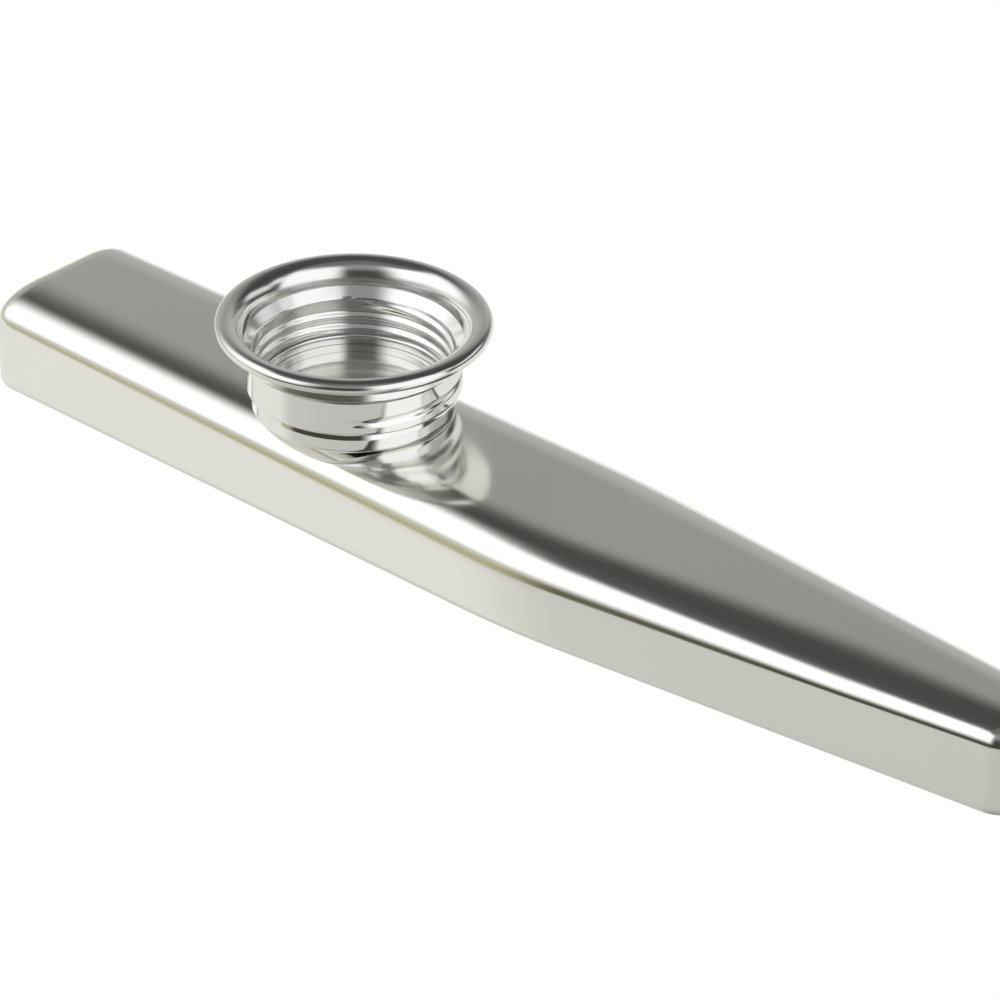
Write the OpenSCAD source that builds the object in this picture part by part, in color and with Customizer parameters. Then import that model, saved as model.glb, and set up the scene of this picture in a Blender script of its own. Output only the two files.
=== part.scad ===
// Screw-cap kazoo: a pressed, tapered sheet body under a turret with a rolled thread,
// a flared cap and a replaceable membrane. Millimetres. The underside rests on z = 0,
// +X points to the narrow tip, and the origin lies under the middle of the length.

/* [Body] */
// Length from the humming end to the tip
body_l = 120; // [112:1:135]
// Width at the humming end
end_w = 17.3; // [16:0.1:19]
// Width at the bend, where the taper starts
bend_w = 19.4; // [18.6:0.1:22]
// Width at the tip
tip_w = 8.6; // [8:0.1:11]
// Height at the humming end
end_h = 10.2; // [9.6:0.1:12]
// Height at the bend
bend_h = 9.1; // [8.6:0.1:10.6]
// Height at the tip
tip_h = 9; // [8.6:0.1:10.6]
// Distance from the humming end to the bend
bend_x = 68.5; // [60:0.5:80]
// Length over which the bend is blended, each way
bend_blend = 5.5; // [4:0.5:12]
// Radius of the pressed edge round the top
top_r = 3.2; // [2.4:0.1:3.6]
// Radius of the upright corners at the humming end
end_r = 3; // [2.4:0.1:4]
// Radius of the rounded tip
tip_r = 3; // [2.4:0.1:3.4]
// Radius of the folded bottom edge
fold_r = 1; // [0.8:0.05:1.2]
// Width of the flat hem under the bottom plate
hem_w = 1.2; // [0.8:0.1:1.4]
// Thickness of the body sheet
sheet_t = 0.5; // [0.4:0.05:0.6]
// Height of the bottom plate's upturned edge, over the hem
pan_h = 1.5; // [1:0.1:1.6]

/* [Openings] */
// Width of the slot that is hummed into
mouth_w = 11.6; // [8:0.1:12]
// Height of that slot
mouth_h = 5; // [4.6:0.1:5.2]
// Width of the hole at the tip
tip_hole_w = 5.2; // [4.8:0.1:5.4]
// Height of the hole at the tip
tip_hole_h = 4.8; // [4.6:0.1:5]
// Corner radius of both openings
hole_r = 1.2; // [0.6:0.1:1.4]

/* [Collar] */
// Distance from the humming end to the middle of the turret
turret_x = 41.3; // [36:0.1:46]
// How far the foot lies inside the threaded wall
foot_set = 0.5; // [0.4:0.05:0.6]
// Depth of the groove rolled between the foot and the threaded wall
groove_d = 0.43; // [0.35:0.01:0.5]
// Height of the collar above the body
collar_h = 5.65; // [5.5:0.05:5.8]
// Height of the foot, up to the groove
foot_h = 1.3; // [1.25:0.05:1.35]
// Height at which the groove's upper side starts
flank_h = 2; // [1.9:0.05:2.05]
// Radius of the eyelet that grips the body sheet
eyelet_r = 5.4; // [5:0.1:5.5]
// Thickness of the collar and cap sheet
tube_t = 0.34; // [0.3:0.02:0.36]

/* [Cap] */
// Outside radius of the flared rim
rim_r = 12.9; // [12.75:0.05:13.3]
// Height of the widest part of the rim above the body
rim_h = 8.5; // [8.3:0.05:8.8]
// Rise of the rim's crest above its widest part
crest_rise = 0.7; // [0.6:0.05:0.8]
// Distance from the rim in to the crest
crest_w = 0.9; // [0.8:0.05:1]
// Radius of the flare's inner edge, under the crest
flare_arc_r = 1.25; // [1.1:0.05:1.3]
// Width of the flare, from the throat out to the rim
flare_w = 2.4; // [2.3:0.05:2.6]
// Width of the shoulder, from the collar's wall out to the throat
shoulder_w = 0.4; // [0.3:0.05:0.6]
// Height at which the throat starts to flare
throat_h = 6.9; // [6.8:0.05:7]
// Radius of the rolled lip
lip_r = 0.5; // [0.4:0.05:0.6]
// Radial clearance between the cap and the collar
cap_gap = 0.08; // [0.07:0.01:0.1]

/* [Thread] */
// Rise of the cap in one turn
pitch = 1.3; // [1.25:0.05:1.4]
// Depth of the rolled thread
thread_d = 0.36; // [0.32:0.02:0.38]
// Height at which the collar's thread starts
thread_h = 3.3; // [3.2:0.05:3.4]
// Turns of thread in the collar
collar_turns = 0.85; // [0.7:0.05:0.9]
// Turns by which the cap's thread goes on above the collar's
cap_turns = 0.7; // [0.4:0.05:0.75]
// Direction in which the collar's thread starts, from +X
thread_az = -55; // [-180:5:180]

/* [Membrane] */
// Width of the ring under the film
ring_w = 1.55; // [1.35:0.05:2.1]
// Thickness of the film
film_t = 0.1; // [0.08:0.01:0.14]
// Thickness of the ring under the film
ring_t = 0.5; // [0.4:0.02:0.56]
// Height of the ring's upright spigot
spigot_h = 0.7; // [0.5:0.05:0.9]
// Thickness of the spigot's wall
spigot_t = 0.4; // [0.3:0.05:0.5]

/* [Hidden] */

fit_gap = 0.03;      // between pieces that are fixed to each other
seat_gap = 0.05;     // between faces that only rest on each other
pan_fit = 0.08;      // between the bottom plate and the shell round it
over = 1;            // how far a cut runs past a face
smooth = 96;         // facets of a full turn
arc_n = 8;           // steps in a quarter turn of the body's edges
thread_n = 36;       // steps in one turn of a thread

half_t = tube_t / 2;
pan_gap = sheet_t + pan_fit;              // from the outside to the bottom plate
hem_in = fold_r + hem_w;                  // from the outside to the open underside
mouth_z = (end_h - end_r + sheet_t + pan_h) / 2;
tip_hole_z = sheet_t + pan_h + tip_hole_h / 2;
top_slope = atan((end_h - bend_h) / bend_x);
top_z = along(turret_x, end_h, bend_h, tip_h);

throat_r = rim_r - flare_w;               // outside of the throat, over the shoulder
crest_r = rim_r - crest_w;                // circle along the crest
collar_r = throat_r - shoulder_w;         // outside of the collar's threaded wall
foot_r = collar_r - foot_set;             // outside of the collar's foot
groove_r = foot_r - groove_d;             // outside of the collar at the groove
wall_in = collar_r - tube_t;              // bore of the collar's threaded wall
neck_in = groove_r - tube_t;              // bore behind the collar's groove
cap_r = wall_in - cap_gap;                // outside of the cap's threaded wall
sleeve_r = neck_in - cap_gap;             // outside of the cap's end
ring_h = tube_t + seat_gap;               // underside of the membrane ring
film_h = ring_h + ring_t;                 // underside of the film
sleeve_h = film_h + seat_gap;             // lower end of the cap, on the ring
spigot_r = sleeve_r - tube_t - seat_gap;  // outside of the ring's spigot

flank_share = 0.32;                                 // rise of the groove's upper side
flank_rise = (collar_r - groove_r) * flank_share;
groove_rise = (foot_r - groove_r) / 2;              // height of the groove's lower side
cap_step_h = flank_h + tube_t;                      // start of the cap's step
cap_step_rise = (cap_r - sleeve_r) * flank_share;
shoulder_h = collar_h + tube_t;                     // start of the shoulder over the collar
shoulder_rise = throat_r - cap_r;
crest_h = rim_h + crest_rise;
thread_half = thread_d;                             // half width of a thread at the wall
crest_half = thread_half / 3;                       // half width of a thread at its crest
ridge_r = wall_in - thread_d;                       // crest of the collar's thread
thread_gap = cap_gap * 1.25;                        // clearance round the thread

// A value that goes from a to b up to the bend and on to c at the tip, blended at the bend
function along(x, a, b, c) =
    let (u = x - bend_x, s = (b - a) / bend_x, t = (c - b) / (body_l - bend_x))
    abs(u) < bend_blend
        ? b + (s + t) / 2 * u + (t - s) * (u * u + bend_blend * bend_blend) / (4 * bend_blend)
        : b + u * (u < 0 ? s : t);

// How far an edge of radius r0 at the humming end or r1 at the tip has drawn in at x
function quarter(r, d) = r - sqrt(max(0, r * r - d * d));
function drawn_in(x, r0, r1, wall) =
    x < r0 ? quarter(r0 - wall, r0 - x)
    : x > body_l - r1 ? quarter(r1 - wall, x - body_l + r1) : 0;

// Places along the body for a surface that lies a wall inside the outside
function stations(wall) = concat(
    [for (a = [0:15:75]) end_r - (end_r - wall) * cos(a)],
    [for (i = [0:4]) end_r + (bend_x - bend_blend - end_r) * i / 5],
    [for (i = [0:6]) bend_x - bend_blend + 2 * bend_blend * i / 6],
    [for (i = [1:4]) bend_x + bend_blend + (body_l - tip_r - bend_x - bend_blend) * i / 5],
    [for (a = [0:15:90]) body_l - tip_r + (tip_r - wall) * sin(a)]);

function half_width(x, wall) =
    along(x, end_w, bend_w, tip_w) / 2 - wall - drawn_in(x, end_r, tip_r, wall);

// Cross-section at x, a wall inside the outside: round top edges, folded bottom edges
function section(x, wall) =
    let (w = half_width(x, wall), d = drawn_in(x, end_r, tip_r, wall),
         f = drawn_in(x, fold_r, fold_r, min(wall, fold_r / 2)),
         top = along(x, end_h, bend_h, tip_h) - wall - d, low = wall + f,
         rt = max(top_r - wall - d, fit_gap), rb = max(fold_r - wall - f, fit_gap),
         side = concat(
             [for (i = [0:arc_n]) let (a = 90 * i / arc_n)
                 [w - rt + rt * sin(a), top - rt + rt * cos(a)]],
             [for (a = [0:30:90]) [w - rb + rb * cos(a), low + rb - rb * sin(a)]]))
    concat([for (p = side) [x, -p[0], p[1]]],
        [for (i = [len(side) - 1:-1:0]) [x, side[i][0], side[i][1]]]);

// A closed skin over rings of equally many points
module skin(rings) {
    k = len(rings[0]);
    n = len(rings);
    polyhedron(
        [for (r = rings) each r],
        concat(
            [[for (i = [0:k - 1]) i]],
            [[for (i = [k - 1:-1:0]) (n - 1) * k + i]],
            [for (j = [0:n - 2], i = [0:k - 1], t = [0, 1])
                let (a = j * k + i, b = j * k + (i + 1) % k)
                t == 0 ? [a, a + k, b] : [b, a + k, b + k]]));
}

module body_form(wall) skin([for (x = stations(wall)) section(x, wall)]);

// Outline of the body seen from below, a wall inside the outside
module plan(wall) {
    side = [for (x = stations(wall)) [x, half_width(x, wall)]];
    polygon(concat(side, [for (i = [len(side) - 1:-1:0]) [side[i][0], -side[i][1]]]));
}

// A hole with round corners, cut along the body
module slot(x, z, w, h, l) {
    translate([x, 0, z]) rotate([90, 0, 90]) linear_extrude(l) {
        square([w, h - 2 * hole_r], center = true);
        square([w - 2 * hole_r, h], center = true);
        for (y = [-1, 1], v = [-1, 1])
            translate([y * (w / 2 - hole_r), v * (h / 2 - hole_r)]) circle(hole_r, $fn = smooth / 2);
    }
}

module from_end() translate([-body_l / 2, 0, 0]) children();

// The turret stands square on the gently sloping top
module on_top() from_end() translate([turret_x, 0, top_z]) rotate([0, top_slope, 0]) children();

// An arc of a circle or, with two radii, of an ellipse
function arc(c, rx, ry, a0, a1, n) =
    [for (i = [0:n]) let (a = a0 + (a1 - a0) * i / n) c + [rx * cos(a), ry * sin(a)]];

// Outline of a bent sheet of thickness t whose middle follows a path
function beside(path, i, d) =
    let (v = path[min(i + 1, len(path) - 1)] - path[max(i - 1, 0)])
    path[i] + d * [-v[1], v[0]] / norm(v);
function bent_sheet(path, t) = concat(
    [for (i = [0:len(path) - 1]) beside(path, i, t / 2)],
    [for (i = [len(path) - 1:-1:0]) beside(path, i, -t / 2)]);

// A helical strip from the radius root_r to tip_r, with half widths there, that fades at
// its ends where fade says so: [start, end]
module helix(h0, turns, az, root_r, tip_r, root_half, tip_half, fade) {
    n = ceil(turns * thread_n);
    fade_n = thread_n / 8;
    function depth(i) =
        let (s = fade[0] ? i / fade_n : 1, e = fade[1] ? (n - i) / fade_n : 1)
        0.2 + 0.8 * min(1, s, e);
    skin([for (i = [0:n])
        let (a = az + 360 * turns * i / n, h = h0 + pitch * turns * i / n,
             r = root_r + (tip_r - root_r) * depth(i))
        [for (p = [[root_r, -root_half], [r, -tip_half], [r, tip_half], [root_r, root_half]])
            [p[0] * cos(a), p[0] * sin(a), h + p[1]]]]);
}

module upper_shell() color("silver") {
    difference() {
        from_end() difference() {
            body_form(0);
            body_form(sheet_t);
            translate([0, 0, -over]) linear_extrude(over + 2 * sheet_t) plan(hem_in);
            slot(-over, mouth_z, mouth_w, mouth_h, over + end_r);
            slot(body_l - tip_r, tip_hole_z, tip_hole_w, tip_hole_h, over + tip_r);
        }
        on_top() translate([0, 0, -top_r])
            cylinder(r = eyelet_r + fit_gap, h = top_r + over, $fn = smooth);
    }
}

module bottom_plate() color("lightgray")
    from_end() difference() {
        body_form(pan_gap);
        body_form(pan_gap + sheet_t);
        translate([-over, -bend_w, sheet_t + pan_h])
            cube([body_l + 2 * over, 2 * bend_w, end_h]);
    }

// Middle line of the collar's sheet, from under the body's top to the upper edge
collar_path = [
    [eyelet_r + 2 * tube_t, -sheet_t - fit_gap - half_t],
    [eyelet_r - half_t + tube_t, -sheet_t - fit_gap - half_t],
    [eyelet_r - half_t, -sheet_t - fit_gap - half_t / 2],
    [eyelet_r - half_t, half_t / 2],
    [eyelet_r, half_t],
    [foot_r - half_t - tube_t, half_t],
    [foot_r - half_t, half_t + tube_t / 2],
    [foot_r - half_t, foot_h],
    [groove_r - half_t, foot_h + groove_rise],
    [groove_r - half_t, flank_h],
    [collar_r - half_t, flank_h + flank_rise],
    [collar_r - half_t, collar_h]];

module turret_collar() color("gainsboro")
    on_top() difference() {
        union() {
            rotate_extrude($fn = smooth) polygon(bent_sheet(collar_path, tube_t));
            helix(thread_h, collar_turns, thread_az, collar_r - half_t, ridge_r,
                thread_half, crest_half, [true, true]);
        }
        helix(thread_h, collar_turns, thread_az, collar_r + half_t, ridge_r + tube_t,
            thread_half - half_t / 2, crest_half * 2 / 3, [true, true]);
    }

// Middle line of the cap's sheet, from its lower end up to the crest, out to the rim and
// back under the flare
cap_path = concat(
    [[sleeve_r - half_t, sleeve_h],
     [sleeve_r - half_t, cap_step_h],
     [cap_r - half_t, cap_step_h + cap_step_rise],
     [cap_r - half_t, shoulder_h],
     [throat_r - half_t, shoulder_h + shoulder_rise]],
    [[throat_r - half_t, throat_h]],
    arc([crest_r, crest_h - flare_arc_r], flare_arc_r - half_t, flare_arc_r - half_t, 155, 90, 6),
    arc([crest_r, rim_h], rim_r - half_t - crest_r, crest_rise - half_t, 75, 0, 5),
    arc([rim_r - half_t - lip_r, rim_h], lip_r, lip_r, -15, -45, 2),
    [[throat_r + tube_t * 0.8, shoulder_h + shoulder_rise / 2]]);

// Direction of the thread at a height, and how far the cap's groove runs below the collar's
function thread_at(h) = thread_az + 360 * (h - thread_h) / pitch;
lead_h = thread_h - cap_step_h + thread_half;
all_turns = collar_turns + cap_turns + lead_h / pitch;

// Everything inside the outer face of the cap's end, step and threaded wall
module cap_core()
    rotate_extrude($fn = smooth) polygon([
        [ridge_r - thread_gap - 2 * tube_t, cap_step_h],
        [sleeve_r, cap_step_h],
        [cap_r, cap_step_h + cap_step_rise],
        [cap_r, shoulder_h],
        [ridge_r - thread_gap - 2 * tube_t, shoulder_h]]);

module screw_cap() color("whitesmoke")
    on_top() difference() {
        union() {
            rotate_extrude($fn = smooth) polygon(bent_sheet(cap_path, tube_t));
            intersection() {
                helix(thread_h - lead_h, all_turns, thread_at(thread_h - lead_h),
                    cap_r - half_t, ridge_r - thread_gap - tube_t, thread_half + tube_t / 2,
                    crest_half + tube_t / 2, [false, true]);
                cap_core();
            }
        }
        helix(thread_h - lead_h, all_turns, thread_at(thread_h - lead_h),
            cap_r + half_t, ridge_r - thread_gap, thread_half + half_t / 2,
            crest_half + thread_gap, [false, true]);
    }

module membrane_ring() color("whitesmoke")
    on_top() rotate_extrude($fn = smooth) {
        translate([sleeve_r - ring_w, ring_h]) square([ring_w, ring_t]);
        translate([spigot_r - spigot_t, ring_h]) square([spigot_t, ring_t + spigot_h]);
    }

module membrane() color("gainsboro")
    on_top() translate([0, 0, film_h])
        cylinder(r = spigot_r - spigot_t - fit_gap, h = film_t, $fn = smooth);

upper_shell();
bottom_plate();
turret_collar();
screw_cap();
membrane_ring();
membrane();
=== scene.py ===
import bpy
import math
import numpy as np
from mathutils import Matrix, Vector


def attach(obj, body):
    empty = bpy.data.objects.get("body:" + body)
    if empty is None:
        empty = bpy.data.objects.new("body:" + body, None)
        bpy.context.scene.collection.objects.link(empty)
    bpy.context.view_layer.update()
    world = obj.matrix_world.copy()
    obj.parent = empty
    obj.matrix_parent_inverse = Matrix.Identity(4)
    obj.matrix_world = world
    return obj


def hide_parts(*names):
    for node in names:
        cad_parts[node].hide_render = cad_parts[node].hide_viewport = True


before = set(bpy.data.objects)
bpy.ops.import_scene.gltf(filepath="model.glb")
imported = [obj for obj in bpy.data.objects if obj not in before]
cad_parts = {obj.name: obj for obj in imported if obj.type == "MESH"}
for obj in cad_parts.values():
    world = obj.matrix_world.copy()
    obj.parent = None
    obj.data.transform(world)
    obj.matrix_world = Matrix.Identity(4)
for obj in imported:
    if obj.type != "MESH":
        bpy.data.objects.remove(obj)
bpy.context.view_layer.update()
print("stage: frame loaded")


# sizes below are millimetres, Blender's are metres
def mm(value):
    return value / 1000


def toLinear(code):
    parts = [int(code[i:i + 2], 16) / 255 for i in (0, 2, 4)]
    return tuple(c / 12.92 if c <= 0.04045 else ((c + 0.055) / 1.055) ** 2.4 for c in parts)


def addNode(tree, kind, settings=None, inputs=None, links=None):
    node = tree.nodes.new(kind)
    for key, value in (settings or {}).items():
        setattr(node, key, value)
    for key, value in (inputs or {}).items():
        node.inputs[key].default_value = value
    for key, source in (links or {}).items():
        tree.links.new(source, node.inputs[key])
    return node


def newMaterial(name, colour, metallic, rough):
    material = bpy.data.materials.new(name)
    material.use_nodes = True
    shader = material.node_tree.nodes["Principled BSDF"]
    shader.inputs["Base Color"].default_value = (*toLinear(colour), 1)
    shader.inputs["Metallic"].default_value = metallic
    shader.inputs["Roughness"].default_value = rough
    return material, material.node_tree, shader


# polished sheet: the polish varies a little along a grain, and the sheet is not quite flat
def polishedSheet(name, colour, rough, grainMm, waveMm, waveDepthMm):
    material, tree, shader = newMaterial(name, colour, 1, rough)
    place = addNode(tree, "ShaderNodeTexCoord").outputs["Object"]
    grainScale = tuple(1 / mm(length) for length in grainMm)
    stretched = addNode(tree, "ShaderNodeMapping", inputs={"Scale": grainScale}, links={"Vector": place})
    grain = addNode(tree, "ShaderNodeTexNoise", inputs={"Scale": 1, "Detail": 4},
                    links={"Vector": stretched.outputs[0]})
    limits = {"From Min": 0.3, "From Max": 0.7, "To Min": rough * 0.85, "To Max": rough * 1.2}
    spread = addNode(tree, "ShaderNodeMapRange", inputs=limits, links={"Value": grain.outputs["Fac"]})
    tree.links.new(spread.outputs[0], shader.inputs["Roughness"])
    swell = addNode(tree, "ShaderNodeTexNoise", inputs={"Scale": 1 / mm(waveMm), "Detail": 1},
                    links={"Vector": place})
    lift = addNode(tree, "ShaderNodeBump", inputs={"Strength": 1, "Distance": mm(waveDepthMm)},
                   links={"Height": swell.outputs["Fac"]})
    tree.links.new(lift.outputs[0], shader.inputs["Normal"])
    return material


# pressed aluminium, polished: clear but slightly soft reflections, drawn out along the body
pressedSheet = polishedSheet("pressed_aluminium", "f3f3ef", rough=0.13, grainMm=(16.67, 1.11, 1.11), waveMm=14,
                             waveDepthMm=0.004)
# spun aluminium, polished on the lathe: a little greyer, its reflections softened round the turret
spunSheet = polishedSheet("spun_aluminium", "f1f1ef", rough=0.16, grainMm=(2.5, 2.5, 0.333), waveMm=9,
                          waveDepthMm=0.002)
# rolled aluminium, polished: as bright as the body, with the sharpest reflections
rolledSheet = polishedSheet("rolled_aluminium", "f3f3f2", rough=0.08, grainMm=(2.5, 2.5, 0.333), waveMm=9,
                            waveDepthMm=0.002)
# metallised polyester film: pale and mirror-like, a trace of the plastic's own white in it
metallisedFilm = newMaterial("metallised_polyester_film", "f8f8f4", metallic=0.92, rough=0.13)[0]
print("stage: materials")

# edges sharper than these angles stay crisp; cutters overrun what they cut, and the eyelet has a little clearance
meshing = dict(sharpDeg=35, turretSharpDeg=50, overrun=1, clearance=0.03)


def newPiece(name, points, faces, material, sharpDeg=meshing["sharpDeg"]):
    mesh = bpy.data.meshes.new(name)
    mesh.from_pydata([tuple(mm(c) for c in p) for p in points], [], faces)
    mesh.update()
    piece = bpy.data.objects.new(name, mesh)
    bpy.context.scene.collection.objects.link(piece)
    mesh.materials.append(material)
    finishShading(mesh, sharpDeg)
    return piece


def finishShading(mesh, sharpDeg):
    for face in mesh.polygons:
        face.use_smooth = True
    mesh.set_sharp_from_angle(angle=math.radians(sharpDeg))


# faces between rings of points, looking outward; the last ring joins the first, or else both ends get a lid
def skinFaces(ringCount, size, closed=False):
    faces = []
    for j in range(ringCount if closed else ringCount - 1):
        a, b = j * size, (j + 1) % ringCount * size
        faces += [(a + i, a + (i + 1) % size, b + (i + 1) % size, b + i) for i in range(size)]
    if not closed:
        faces.append(tuple(reversed(range(size))))
        faces.append(tuple(range((ringCount - 1) * size, ringCount * size)))
    return faces


def skinPiece(name, rings, material):
    return newPiece(name, [p for ring in rings for p in ring], skinFaces(len(rings), len(rings[0])), material)


def cutAway(piece, cutters):
    for cutter in cutters:
        change = piece.modifiers.new("cut", "BOOLEAN")
        change.operation, change.object, change.solver = "DIFFERENCE", cutter, "EXACT"
    graph = bpy.context.evaluated_depsgraph_get()
    cutMesh = bpy.data.meshes.new_from_object(piece.evaluated_get(graph))
    piece.modifiers.clear()
    old, piece.data = piece.data, cutMesh
    bpy.data.meshes.remove(old)
    for cutter in cutters:
        bpy.data.objects.remove(cutter)


# three values are at the humming end, at the bend and at the tip
body = dict(length=120, width=(17.3, 19.4, 8.6), height=(10.2, 9.1, 9), bendAt=68.5, bendBlend=5.5,
            # roll of the top's long edges: how far it reaches in, how far down, and how square it is
            nearRoll=dict(inward=(6.2, 5.5, 5.9), down=(3.5, 3.8, 2.25), squareness=2.3),
            farRoll=dict(inward=(4.65, 4.9, 3.3), down=(3.1, 3.35, 2), squareness=2.35),
            mostInward=0.95, leastFold=0.03,  # largest share of the half width for a roll, smallest fold radius
            endRadius=3, tipRadius=2.4, foldRadius=1, hem=1.2, sheet=0.5,
            straightSteps=130, rollSteps=36, flatSteps=4)
mouth = dict(width=11.6, height=5, middle=4.6)
tipHole = dict(width=5.2, height=4.8, middle=4.4)
holes = dict(corner=1.2, depth=4)
# the eyelet's cutter, from below the sheet to above it, turned a hair so that no corner of it meets one of the top's
eyeletCut = dict(low=-3, high=1, steps=96, turnedBy=0.02)


# straight from each value to the next, with a soft bend between
def along(x, atEnd, atBend, atTip):
    past, blend = x - body["bendAt"], body["bendBlend"]
    before, after = (atBend - atEnd) / body["bendAt"], (atTip - atBend) / (body["length"] - body["bendAt"])
    if abs(past) < blend:
        bow = (after - before) * (past * past + blend * blend) / (4 * blend)
        return atBend + (before + after) / 2 * past + bow
    return atBend + past * (before if past < 0 else after)


# how far the outline is drawn in by the upright corners at x, for a skin that lies inset within them
def drawnIn(x, startRadius, endRadius, inset):
    if x < startRadius:
        radius, past = startRadius - inset, startRadius - x
    elif x > body["length"] - endRadius:
        radius, past = endRadius - inset, x - body["length"] + endRadius
    else:
        return 0
    return radius - math.sqrt(max(0, radius * radius - past * past))


def cornersIn(x, inset):
    return drawnIn(x, body["endRadius"], body["tipRadius"], inset)


# places along the body, close together round the corners
def stations(inset):
    start, end, length = body["endRadius"], body["tipRadius"], body["length"]
    first = [start - (start - inset) * math.cos(math.radians(a)) for a in range(0, 90, 5)]
    last = [length - end + (end - inset) * math.sin(math.radians(a)) for a in range(0, 91, 5)]
    return first + list(np.linspace(start, length - end, body["straightSteps"])[:-1]) + last


# the edge's roll gets smaller round the ends, and never sharp
def shrunk(roll, drawn):
    return roll * roll / (roll + drawn)


def bodySection(x, inset):
    drawn, foldRadius, n = cornersIn(x, inset), body["foldRadius"], body["flatSteps"]
    foldIn = drawnIn(x, foldRadius, foldRadius, min(inset, foldRadius / 2))
    half, low = along(x, *body["width"]) / 2 - inset - drawn, inset + foldIn
    top = along(x, *body["height"]) - inset - drawn
    fold = max(foldRadius - inset - foldIn, body["leastFold"])
    outlines = []
    for roll in (body["nearRoll"], body["farRoll"]):
        inward = min(shrunk(along(x, *roll["inward"]) - inset, drawn), half * body["mostInward"])
        down = shrunk(along(x, *roll["down"]) - inset, drawn)
        power = 2 / roll["squareness"]
        edge = [((half - inward) * k / n, top) for k in range(n)]
        for k in range(body["rollSteps"] + 1):
            a = math.radians(90 * k / body["rollSteps"])
            edge.append((half - inward + inward * math.sin(a) ** power,
                         top - down + down * max(0, math.cos(a)) ** power))
        edge += [(half, top - down + (low + fold - top + down) * k / n) for k in range(1, n)]
        for degrees in range(0, 91, 10):
            a = math.radians(degrees)
            edge.append((half - fold + fold * math.cos(a), low + fold - fold * math.sin(a)))
        edge += [((half - fold) * k / n, low) for k in reversed(range(n))]
        outlines.append(edge)
    near, far = outlines
    place = x - body["length"] / 2
    return [(place, -y, z) for y, z in near] + [(place, y, z) for y, z in reversed(far[1:-1])]


def bodyLoft(name, inset):
    return skinPiece(name, [bodySection(x, inset) for x in stations(inset)], pressedSheet)


def endHole(name, hole, x):
    corner = holes["corner"]
    outline = []
    for sy, sz, start in ((1, 1, 0), (-1, 1, 90), (-1, -1, 180), (1, -1, 270)):
        for a in range(0, 91, 10):
            turn = math.radians(start + a)
            outline.append((sy * (hole["width"] / 2 - corner) + corner * math.cos(turn),
                            hole["middle"] + sz * (hole["height"] / 2 - corner) + corner * math.sin(turn)))
    return skinPiece(name, [[(px, y, z) for y, z in outline] for px in (x, x + holes["depth"])], pressedSheet)


# the underside is open inside the folded hem, where the bottom plate lies
def hemOpening(name):
    inset = body["foldRadius"] + body["hem"]
    side = []
    for x in stations(inset):
        half = along(x, *body["width"]) / 2 - inset - cornersIn(x, inset)
        side.append((x - body["length"] / 2, half))
    outline = [(x, -y) for x, y in side] + list(reversed(side))
    over = meshing["overrun"]
    return skinPiece(name, [[(x, y, z) for x, y in outline] for z in (-over, over)], pressedSheet)


# radii of the turret, heights above the body's top; the collar goes round the groove and up to the wall, its middle
# line stops edgeIn short of the sheet's edge, and the edge bulges by edgeRound of the sheet
turret = dict(at=41.3, sheet=0.34, eyelet=5.4, curl=0.68, foot=9.6, footHeight=1.45, footStep=0.1, groove=9.17,
              grooveTaper=0.47, flank=2.08, flankRise=0.3, wall=10.1, height=5.65, edgeIn=0.1, edgeRound=0.28,
              thread=dict(depth=0.36, halfWidth=0.5, turnsBelow=0, turnsAbove=0.85), steps=288, pathStep=0.09)
topAt = along(turret["at"], *body["height"])
slope = math.atan((body["height"][0] - body["height"][1]) / body["bendAt"])
onTop = Matrix.Translation((turret["at"] - body["length"] / 2, 0, topAt)) @ Matrix.Rotation(slope, 4, "Y")


def placed(points):
    return [tuple(onTop @ Vector(p)) for p in points]


def eyeletHole(name):
    radius, first = turret["eyelet"] + meshing["clearance"], eyeletCut["turnedBy"]
    turns = np.linspace(first, first + 2 * math.pi, eyeletCut["steps"] + 1)[:-1]
    rings = [placed([(radius * math.cos(a), radius * math.sin(a), h) for a in turns])
             for h in (eyeletCut["low"], eyeletCut["high"])]
    return skinPiece(name, rings, pressedSheet)


shellSkin = bodyLoft("shell_skin", 0)
mouthAt = -body["length"] / 2 - meshing["overrun"]
tipHoleAt = body["length"] / 2 + meshing["overrun"] - holes["depth"]
cutAway(shellSkin, [bodyLoft("inner", body["sheet"]), hemOpening("hem_cut"), endHole("mouth_cut", mouth, mouthAt),
                    endHole("tip_cut", tipHole, tipHoleAt), eyeletHole("eyelet_cut")])
finishShading(shellSkin.data, meshing["sharpDeg"])
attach(shellSkin, "body")
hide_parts("upper_shell")
print("stage: shell", len(shellSkin.data.polygons))


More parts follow.
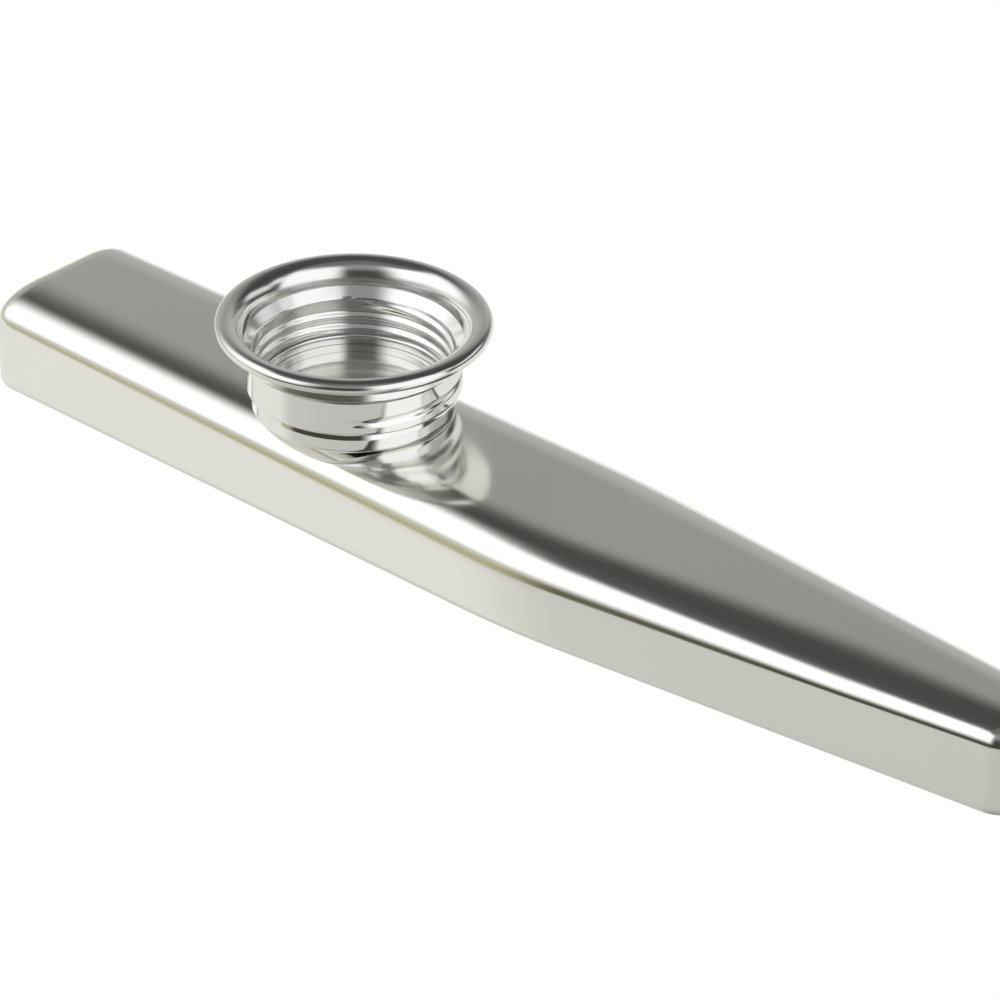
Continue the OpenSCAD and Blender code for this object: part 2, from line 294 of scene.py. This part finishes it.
# a line through (radius, height, rounding) corners, rounded and cut into short steps
def filletPath(corners):
    step = turret["pathStep"]
    path = [np.array(corners[0][:2], float)]
    for before, here, after in zip(corners, corners[1:], corners[2:]):
        p, q, r = (np.array(c[:2], float) for c in (before, here, after))
        radius = here[2] if len(here) > 2 else 0
        u, v = (p - q) / np.linalg.norm(p - q), (r - q) / np.linalg.norm(r - q)
        turn = math.acos(max(-1, min(1, float(u @ v))))
        if radius <= 0 or turn > math.pi - 0.02:
            path.append(q)
            continue
        back = min(radius / math.tan(turn / 2), 0.49 * min(np.linalg.norm(p - q), np.linalg.norm(r - q)))
        radius = back * math.tan(turn / 2)
        centre = q + (u + v) / np.linalg.norm(u + v) * radius / math.sin(turn / 2)
        start, end = (math.atan2(*(w - centre)[::-1]) for w in (q + u * back, q + v * back))
        sweep = (end - start + math.pi) % (2 * math.pi) - math.pi
        for k in np.linspace(0, 1, max(3, int(abs(sweep) * radius / step) + 2)):
            path.append(centre + radius * np.array([math.cos(start + sweep * k), math.sin(start + sweep * k)]))
    path.append(np.array(corners[-1][:2], float))
    dense = [path[0]]
    for p, q in zip(path, path[1:]):
        n = max(1, int(math.ceil(np.linalg.norm(q - p) / step)))
        dense += [p + (q - p) * k / n for k in range(1, n + 1) if np.linalg.norm(q - p) > 1e-6]
    return np.array(dense)


# the sheet's outline round its middle line: one side, a rounded end, back along the other side, a rounded end
def sheetLoop(path):
    thickness, roundEnd = turret["sheet"], turret["sheet"] * turret["edgeRound"]
    ahead = np.gradient(path, axis=0)
    normal = np.stack([ahead[:, 1], -ahead[:, 0]], 1) / np.linalg.norm(ahead, axis=1)[:, None]
    lastEnd = path[-1] + ahead[-1] / np.linalg.norm(ahead[-1]) * roundEnd
    firstEnd = path[0] - ahead[0] / np.linalg.norm(ahead[0]) * roundEnd
    right, left = path + normal * thickness / 2, path - normal * thickness / 2
    return np.vstack([right, lastEnd[None], left[::-1], firstEnd[None]]), len(path)


# one helix for both threads, so that the cap's runs in the collar's; they differ in depth, width and turns
helix = dict(start=3.4, azimuth=-60, pitch=1.3, fadeDeg=55)


def threadDip(height, azimuth, thread):
    dip = np.zeros_like(height)
    for k in range(-3, 3):  # each turn of the helix that can pass here
        turned = (azimuth - helix["azimuth"]) / 360 + k
        if not -thread["turnsBelow"] <= turned <= thread["turnsAbove"]:
            continue
        u = (height - helix["start"] - helix["pitch"] * turned) / thread["halfWidth"]
        edge = min(1, (thread["turnsAbove"] - turned) * 360 / helix["fadeDeg"])
        if not thread["turnsBelow"]:
            edge = min(edge, turned * 360 / helix["fadeDeg"])
        soft = edge * edge * (3 - 2 * edge)
        dip = np.maximum(dip, soft * np.where(abs(u) < 1, np.cos(np.pi / 2 * np.clip(u, -1, 1)) ** 2, 0))
    return dip


# the sheet turned round the turret's axis, with the thread rolled in from the wall
def turnedSheet(name, path, wall, thread, material):
    loop, outerCount = sheetLoop(path)
    outer = np.arange(len(loop)) <= outerCount
    steps = turret["steps"]
    points = []
    for k in range(steps):
        azimuth = 360 * k / steps - 180
        dip = threadDip(loop[:, 1], azimuth, thread) * thread["depth"]
        limit = np.where(outer, wall, wall - turret["sheet"]) - dip
        radius = np.where(dip > 0, np.minimum(loop[:, 0], limit), loop[:, 0])
        a = math.radians(azimuth)
        points += [(r * math.cos(a), r * math.sin(a), h) for r, h in zip(radius, loop[:, 1])]
    # the loop runs the other way round from the body's rings, so its faces are turned to look outward
    faces = [tuple(reversed(f)) for f in skinFaces(steps, len(loop), closed=True)]
    return newPiece(name, placed(points), faces, material, meshing["turretSharpDeg"])


mid = turret["sheet"] / 2
eyelet, foot, groove, wall = (turret[name] - mid for name in ("eyelet", "foot", "groove", "wall"))
curlLow = -body["sheet"] - meshing["clearance"] - mid
collarCorners = [(turret["eyelet"] + turret["curl"], curlLow), (eyelet, curlLow, 0.2), (eyelet, mid, 0.25),
                 (foot, mid, 0.3), (foot, turret["footHeight"], 0.1),
                 (foot - turret["footStep"], turret["footHeight"] + turret["grooveTaper"], 0.05),
                 (groove, turret["flank"], 0.05),
                 (wall, turret["flank"] + (turret["wall"] - turret["groove"]) * turret["flankRise"], 0.1),
                 (wall, turret["height"] - turret["edgeIn"])]
collarSkin = turnedSheet("collar_skin", filletPath(collarCorners), turret["wall"], turret["thread"], rolledSheet)
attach(collarSkin, "body")
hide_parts("turret_collar")
print("stage: collar", len(collarSkin.data.polygons))

# the cap, from its sleeve up through the threaded wall, shoulder and throat to the flare, crest, rim and skirt
cap = dict(sleeve=8.75, low=0.94, stepAt=2.34, stepRise=0.32, wall=9.68, shoulderAt=5.85, throat=10.5, throatAt=6.9,
           throatStraight=0.05, crest=12.0, crestAt=9.2, rim=12.9, rimAt=8.5, lip=0.5, lipDeg=-45, skirt=10.67,
           skirtTop=7.02, skirtLow=6.22, skirtLean=0.14,
           thread=dict(depth=0.38, halfWidth=0.62, turnsBelow=1.6, turnsAbove=1.55))


# steps round a quarter or less of an ellipse, without its first point
def arcPoints(centre, across, up, startDeg, endDeg, count):
    return [(centre[0] + across * math.cos(math.radians(a)), centre[1] + up * math.sin(math.radians(a)))
            for a in np.linspace(startDeg, endDeg, count)[1:]]


capWall, throat, rim, crestTop = (cap[name] - mid for name in ("wall", "throat", "rim", "crestAt"))
capCorners = [(cap["sleeve"] - mid, cap["low"] + turret["edgeIn"]), (cap["sleeve"] - mid, cap["stepAt"], 0.2),
              (capWall, cap["stepAt"] + (cap["wall"] - cap["sleeve"]) * cap["stepRise"], 0.2),
              (capWall, cap["shoulderAt"], 0.25), (throat, cap["throatAt"] - cap["throatStraight"], 0.2),
              (throat, cap["throatAt"])]
capPath = list(filletPath(capCorners))
capPath += arcPoints((cap["crest"], cap["throatAt"]), cap["crest"] - throat, crestTop - cap["throatAt"], 180, 90, 45)
capPath += arcPoints((cap["crest"], cap["rimAt"]), rim - cap["crest"], crestTop - cap["rimAt"], 90, 0, 30)
capPath += arcPoints((rim - cap["lip"], cap["rimAt"]), cap["lip"], cap["lip"], 0, cap["lipDeg"], 9)
skirtCorners = [capPath[-1], (cap["skirt"] - cap["skirtLean"], cap["skirtTop"], 0.1), (cap["skirt"], cap["skirtLow"])]
capPath += list(filletPath(skirtCorners)[1:])
capSkin = turnedSheet("cap_skin", np.array([np.array(p) for p in capPath]), cap["wall"], cap["thread"], spunSheet)
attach(capSkin, "cap")
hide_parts("screw_cap")
print("stage: cap", len(capSkin.data.polygons))

for node, material in (("bottom_plate", pressedSheet), ("membrane_ring", spunSheet), ("membrane", metallisedFilm)):
    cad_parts[node].data.materials.clear()
    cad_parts[node].data.materials.append(material)
print("stage: cad nodes dressed")

# light levels: 1 is white; a hex code is a tinted surface
studio = dict(
    # the greys have a little less blue, and the two sides of the room blend over wallFade
    strength=0.78, rampBlue=0.97, viewerSide=(0.665, -0.747, 0), wallFade=0.12,
    # from the horizon up: the far wall is lit low down, and the room on the viewer's side is dark
    farWall=[(0, 0.7), (0.17, 0.6), (0.41, 0.54), (0.5, 0.44), (0.6, 0.33), (0.68, 0.17), (0.76, 0.09), (1, 0.08)],
    nearRoom=[(0, "4b4c3f"), (0.12, "505045"), (0.42, 0.07), (0.58, 0.15), (0.86, 0.2), (1, 0.2)],
    # the table is white, dimmer towards the viewer and dimmest straight below, a painted shadow of the object; it
    # reaches the horizon on the far side, and between nearFrom and nearTo on the viewer's side its edge sinks by
    # tableDrop
    nearFrom=0, nearTo=0.2, tableDrop=0.24, tableFade=(-0.025, -0.01),
    table=[(-1, 1.05), (0.08, 1.05), (0.28, 0.8), (0.86, 0.72), (1, 0.72)],
    below=[(-1, 0.35), (-0.94, 0.64), (-0.82, 0.74), (-0.68, 0.9), (-0.55, 1), (0, 1)])

# cards and flags, each painted over the ones before: sides are azimuths with the degrees over which they fade,
# low and high are the elevations between which the lower and the upper edge fade
cards = [
    dict(sides=((31, 4), (80, 8)), low=(-4, -1), high=(12, 16), level=0.06),  # black flag, low on the right
    dict(sides=((76, 6), (102, 10)), low=(8, 14), high=(84, 88), level=0.16),  # dark strip, far right
    dict(sides=((42, 4), (100, 14)), low=(24, 32), high=(84, 88), level=0.07),  # black flag, high on the right
    dict(sides=((140, 10), (243, 6)), low=(-30, -28), high=(6, 10), level="cec7a2"),  # warm strip, low on the left
    dict(sides=((-92, 8), (-36, 8)), low=(36, 42), high=(60, 66), level=0.36),  # grey card behind the viewer
    dict(sides=((182, 20), (275, 14)), low=(-2, 24), high=(54, 60), level=1.5),  # large window on the left
    dict(sides=((-33, 8), (30, 3)), low=(-18, -15), high=(46, 63), level=1.4),  # large card on the right
    dict(sides=((30, 3), (46, 5)), low=(24, 28), high=(38, 46), level=1.1),  # narrow card beside it
    dict(sides=((44, 5), (80, 6)), low=(14, 20), high=(27, 33), level=1),  # small card further round
]
world = bpy.data.worlds.new("studio")
bpy.context.scene.world = world
world.use_nodes = True
tree = world.node_tree
tree.nodes.clear()
aim = addNode(tree, "ShaderNodeTexCoord").outputs["Generated"]
height = addNode(tree, "ShaderNodeSeparateXYZ", links={"Vector": aim}).outputs["Z"]
facing = addNode(tree, "ShaderNodeVectorMath", {"operation": "DOT_PRODUCT"}, {1: studio["viewerSide"]}, {0: aim})
side = facing.outputs["Value"]
flat = addNode(tree, "ShaderNodeVectorMath", {"operation": "MULTIPLY"}, {1: (1, 1, 0)}, {0: aim}).outputs["Vector"]
around = addNode(tree, "ShaderNodeVectorMath", {"operation": "NORMALIZE"}, links={0: flat}).outputs["Vector"]
smooth = {"interpolation_type": "SMOOTHSTEP"}


def paint(level, blue=1):
    return (*toLinear(level), 1) if isinstance(level, str) else (level, level, level * blue, 1)


def shades(value, low, high, stops):
    spread = addNode(tree, "ShaderNodeMapRange", inputs={"From Min": low, "From Max": high}, links={"Value": value})
    ramp = addNode(tree, "ShaderNodeValToRGB", links={"Fac": spread.outputs[0]})
    elements = ramp.color_ramp.elements
    while len(elements) < len(stops):
        elements.new(0.5)
    for element, (place, level) in zip(elements, stops):
        element.position = (place - low) / (high - low)
        element.color = paint(level, studio["rampBlue"])
    return ramp.outputs["Color"]


def blendShades(value, low, high, first, second):
    share = addNode(tree, "ShaderNodeMapRange", inputs={"From Min": low, "From Max": high}, links={"Value": value})
    links = {"Factor": share.outputs[0], 6: first, 7: second}
    return addNode(tree, "ShaderNodeMix", {"data_type": "RGBA"}, links=links).outputs[2]


def addCard(behind, card):
    sines = [math.sin(math.radians(a)) for a in card["low"] + card["high"]]
    edges = [(height, sines[0], sines[1]), (height, sines[3], sines[2])]
    for (azimuth, soft), turn in zip(card["sides"], (90, -90)):
        across = (math.cos(math.radians(azimuth + turn)), math.sin(math.radians(azimuth + turn)), 0)
        past = addNode(tree, "ShaderNodeVectorMath", {"operation": "DOT_PRODUCT"}, {1: across}, {0: around})
        fade = math.sin(math.radians(soft))
        edges.append((past.outputs["Value"], -fade, fade))
    mask = None
    for value, start, end in edges:
        inside = addNode(tree, "ShaderNodeMapRange", smooth, {"From Min": start, "From Max": end}, {"Value": value})
        if mask is None:
            mask = inside.outputs[0]
            continue
        product = addNode(tree, "ShaderNodeMath", {"operation": "MULTIPLY"}, links={0: mask, 1: inside.outputs[0]})
        mask = product.outputs[0]
    colour, links = {7: paint(card["level"])}, {"Factor": mask, 6: behind}
    return addNode(tree, "ShaderNodeMix", {"data_type": "RGBA"}, colour, links).outputs[2]


farWall, nearRoom = shades(height, 0, 1, studio["farWall"]), shades(height, 0, 1, studio["nearRoom"])
upper = blendShades(side, -studio["wallFade"], studio["wallFade"], farWall, nearRoom)
for card in cards:
    upper = addCard(upper, card)
# the second shades darken the table straight down: the object's shadow on the table, painted into the studio
table, below = shades(side, -1, 1, studio["table"]), shades(height, -1, 0, studio["below"])
lower = addNode(tree, "ShaderNodeMix", {"data_type": "RGBA", "blend_type": "MULTIPLY"}, {0: 1}, {6: table, 7: below})
near = addNode(tree, "ShaderNodeMapRange", smooth, {"From Min": studio["nearFrom"], "From Max": studio["nearTo"]},
               {"Value": side}).outputs[0]
raised = addNode(tree, "ShaderNodeMath", {"operation": "MULTIPLY_ADD"}, {1: studio["tableDrop"]},
                 {0: near, 2: height}).outputs[0]
light = blendShades(raised, *studio["tableFade"], lower.outputs[2], upper)
# the camera sees plain white behind the object, and the metal reflects the studio
seen = addNode(tree, "ShaderNodeLightPath").outputs["Is Camera Ray"]
glow = addNode(tree, "ShaderNodeBackground", inputs={"Strength": studio["strength"]}, links={"Color": light})
backdrop = addNode(tree, "ShaderNodeBackground", inputs={"Color": (1, 1, 1, 1)})
both = addNode(tree, "ShaderNodeMixShader", links={0: seen, 1: glow.outputs[0], 2: backdrop.outputs[0]})
addNode(tree, "ShaderNodeOutputWorld", links={"Surface": both.outputs[0]})
print("stage: studio")

# the camera looks at the target, which shows at the given pixel of a 1000 x 1000 image, scale pixels to a millimetre
shot = dict(azimuth=41.71, elevation=30.47, scale=10.84, distance=426.2, target=(-18.57, 0, 17.89),
            pixel=(353.86, 324.02), image=1000, sensor=36, clipStart=0.01)
azimuth, elevation = math.radians(shot["azimuth"]), math.radians(shot["elevation"])
right = Vector((math.cos(azimuth), math.sin(azimuth), 0))
toward = Vector((math.sin(azimuth), -math.cos(azimuth), 0))
back = toward * math.cos(elevation) + Vector((0, 0, 1)) * math.sin(elevation)
upward = Vector((0, 0, 1)) * math.cos(elevation) - toward * math.sin(elevation)
asideX, asideY = shot["pixel"][0] - shot["image"] / 2, shot["image"] / 2 - shot["pixel"][1]
eye = Vector(shot["target"]) + back * shot["distance"] - (right * asideX + upward * asideY) / shot["scale"]
lens = bpy.data.cameras.new("camera")
lens.sensor_width = shot["sensor"]
lens.lens = shot["scale"] * shot["distance"] / shot["image"] * shot["sensor"]
lens.clip_start = shot["clipStart"]
camera = bpy.data.objects.new("camera", lens)
camera.matrix_world = Matrix.Translation(mm(eye)) @ Matrix((right, upward, back)).transposed().to_4x4()
bpy.context.scene.collection.objects.link(camera)
bpy.context.scene.camera = camera
bpy.context.scene.view_settings.view_transform = "Standard"
